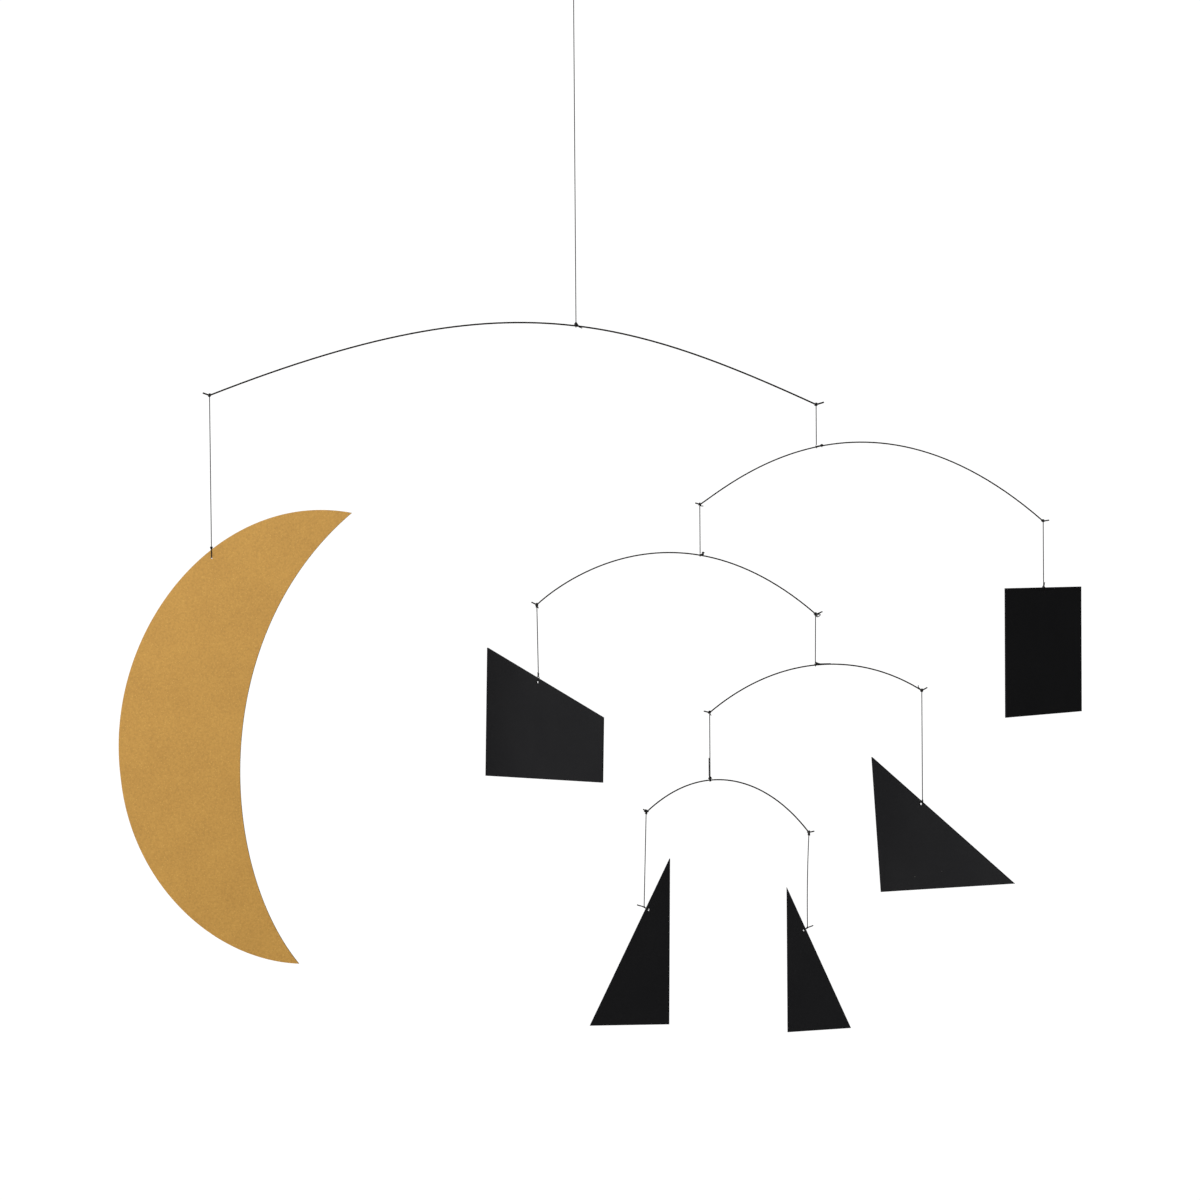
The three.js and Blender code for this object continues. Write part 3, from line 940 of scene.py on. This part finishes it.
def free_end(name, thread, body, origin, start, *steps, radius=THREAD):
    """A free end of thread from a start beside its origin, each step to the right, back and up."""
    points = [(origin[0] + start[0], start[1], origin[1] + start[2])]
    for step in steps:
        points.append(tuple(a + b for a, b in zip(points[-1], step)))
    tail(name, points, body, thread, radius)


# The free ends at the hooks
HOOK_ENDS = {
    "third_arm": [(0.3, -0.6, -1.2), (0.7, 0, -0.3), (0.9, 0, -0.05), (0.9, 0, 0)],
    "trapezoid": [(0.2, -0.7, -0.8), (0.5, 0, -0.9), (0.4, 0, -1.0), (0.1, 0, -0.5)],
    "bottom_arm": [(0.3, -0.3, -1.5), (0.5, -0.1, -0.5), (0.4, 0, -0.6)],
    "large_triangle": [(-1.2, -0.9, 0.9), (-0.9, 0, 0.7), (-0.6, 0, 0.6), (-0.1, 0, 0.8), (0, 0, 0.8)],
}
for name, steps in HOOK_ENDS.items():
    free_end(row_name(name) + "_hook_tail", name, line_body(name), THREADS[name]["top"], *steps)

# An open bight of thread to the right of the fourth wire's hook, most of an oval that leans
BIGHT_RIGHT = 2.3
BIGHT_DOWN = 1.2
BIGHT_LONG = 1.6
BIGHT_HIGH = 0.72
BIGHT_LEAN = radians(33)
BIGHT_POINTS = 15
BIGHT_TURN = pi * 0.9
x, z = THREADS["fourth_arm"]["top"]
bight = [(x + 0.3, -0.3, z - 1.5)]
for i in range(BIGHT_POINTS):
    t = BIGHT_TURN * (2 * i / (BIGHT_POINTS - 1) - 1)
    across, up = BIGHT_LONG * cos(t), BIGHT_HIGH * sin(t)
    right = BIGHT_RIGHT + across * cos(BIGHT_LEAN) - up * sin(BIGHT_LEAN)
    down = BIGHT_DOWN - across * sin(BIGHT_LEAN) - up * cos(BIGHT_LEAN)
    bight.append((x + right, -0.4, z - down))
bight.append((x + 0.3, -0.3, z - 1.3))
tail("fourth_hook_bight", bight, "third_wire", "fourth_arm")

# The knots of the two small triangles and of the trapezoid go on down their threads in turns
COIL_POINTS = 12
COIL_TOP = 1.1
ring = 2 * THREAD + CLEAR
for name, turns in (("left_triangle", 1), ("right_triangle", 2), ("trapezoid", 2)):
    x, z = THREADS[name]["top"]
    foot = THREADS[name]["foot"]
    slope = (foot[0] - x) / (foot[1] - z)
    coil = []
    for i in range(turns * COIL_POINTS + 1):
        drop = COIL_TOP + i * ring / COIL_POINTS
        angle = 2 * pi * i / COIL_POINTS
        coil.append((x - drop * slope + ring * cos(angle), -ring * sin(angle), z - drop))
    tail(name + "_hook_coil", coil, name + "_line", name)

# The free ends at the boards' knots. Those of the two small triangles are thicker, as in the photo.
KNOT_ENDS = {
    "rectangle": [(0.2, -0.3, 0.3), (0.4, 0, 0.8), (0.05, 0, 1.3), (0.4, 0, 0.8)],
    "left_triangle": [(-0.3, -0.3, 0.1), (-1.5, -0.1, 0.6), (-1.9, 0, 0.5), (-1.9, 0, 0.6)],
    "right_triangle": [(0.3, -0.3, 0.1), (1.3, -0.1, 0.5), (1.5, 0, 0.5), (1.4, 0, 0.6)],
    "trapezoid": [(-0.1, -0.3, 0.2), (-0.3, -0.1, 0.5), (0, 0, 0.6)],
}
THICK_END = 0.46
for name, steps in KNOT_ENDS.items():
    radius = THICK_END if name.endswith("_triangle") else THREAD
    free_end(name + "_knot_tail", name, name, THREADS[name]["foot"], *steps, radius=radius)

# Two specks of dust on the front of the large triangle: pale grey lint, clouded
dust, tree, shader, at = finish("pale_dust", Roughness=0.95, Specular_IOR_Level=0.1)
pale = ramp(tree, noise(tree, at, 3000, 2), [(0.3, linear("#7d7a75")), (0.7, linear("#a5a29c"))])
tree.links.new(pale, shader.inputs["Base Color"])
for name, where, size in (
    ("larger", (261.94, 6.48, -722.46), 0.26),
    ("smaller", (281.23, -18.56, -716.75), 0.2),
):
    bpy.ops.object.select_all(action="DESELECT")
    bpy.ops.mesh.primitive_ico_sphere_add(
        subdivisions=2, radius=size * MM, location=[MM * c for c in where]
    )
    speck = bpy.context.object
    speck.name = name + "_speck"
    speck.data.name = speck.name
    bpy.ops.object.transform_apply(location=True, rotation=True, scale=True)
    bpy.ops.object.shade_smooth_by_angle(angle=SMOOTH_ANGLE)
    settle(speck, "large_triangle", "black_board", dust)

for pattern in (hook_knot, board_knot, small_knot, heavy_knot):
    bpy.data.objects.remove(pattern, do_unlink=True)


# Floor and light

FLOOR_SIZE = 12
FLOOR_LEVEL = -2.2
FLOOR_GLOW = 0.62
bpy.ops.object.select_all(action="DESELECT")
bpy.ops.mesh.primitive_plane_add(size=FLOOR_SIZE, location=(0, 0, FLOOR_LEVEL))
floor = bpy.context.object
floor.name = "studio_floor"
# Matt pale paint, faintly clouded. It glows to the eye alone, so that it stays as pale as the backdrop
# far from the lights and casts nothing up onto the boards.
painted, tree, shader, at = finish("pale_painted_floor", Roughness=0.7, Specular_IOR_Level=0.3)
pale = ramp(tree, noise(tree, at, 1.4, 3), [(0.3, linear("#e4e3e1")), (0.7, linear("#ecebe9"))])
tree.links.new(pale, shader.inputs["Base Color"])
tree.links.new(pale, shader.inputs["Emission Color"])
eye = add(tree, "LightPath").outputs["Is Camera Ray"]
glow = add(tree, "Math", {"operation": "MULTIPLY", 1: FLOOR_GLOW}, {0: eye})
tree.links.new(glow.outputs["Value"], shader.inputs["Emission Strength"])
floor.data.materials.append(painted)

# The eye sees a pure white backdrop, while things get only a faint even fill from it
WHITE = (1, 1, 1, 1)
world = bpy.data.worlds.new("white studio")
bpy.context.scene.world = world
world.use_nodes = True
tree = world.node_tree
tree.nodes.clear()
seen = add(tree, "LightPath").outputs["Is Camera Ray"]
backdrop = add(tree, "Background", {"Color": WHITE, "Strength": 1.05}).outputs["Background"]
fill = add(tree, "Background", {"Color": WHITE, "Strength": 0.052}).outputs["Background"]
both = add(tree, "MixShader", links={0: seen, 1: fill, 2: backdrop})
add(tree, "OutputWorld", links={"Surface": both.outputs["Shader"]})

MIDDLE = (0, 0, -0.55)


def soft_light(name, where, size, power):
    """A large square light box that looks at the middle of the mobile."""
    bpy.ops.object.light_add(type="AREA", location=where)
    light = bpy.context.object
    light.name = name
    light.data.size = size
    light.data.energy = power
    right, back, up = [a - b for a, b in zip(MIDDLE, where)]
    light.rotation_euler = (pi / 2 + atan2(up, hypot(right, back)), 0, atan2(-right, back))


soft_light("left light box", (-2.2, -0.9, -0.2), 1.4, 25)
soft_light("left front light box", (-2.2, -3.0, 0.4), 1.6, 50)
soft_light("right front light box", (2.8, -2.4, 0.2), 1.6, 21)
soft_light("back light box", (-0.6, 3.4, 1.6), 1.8, 55)

bpy.context.scene.view_settings.view_transform = "Standard"

bpy.context.view_layer.update()
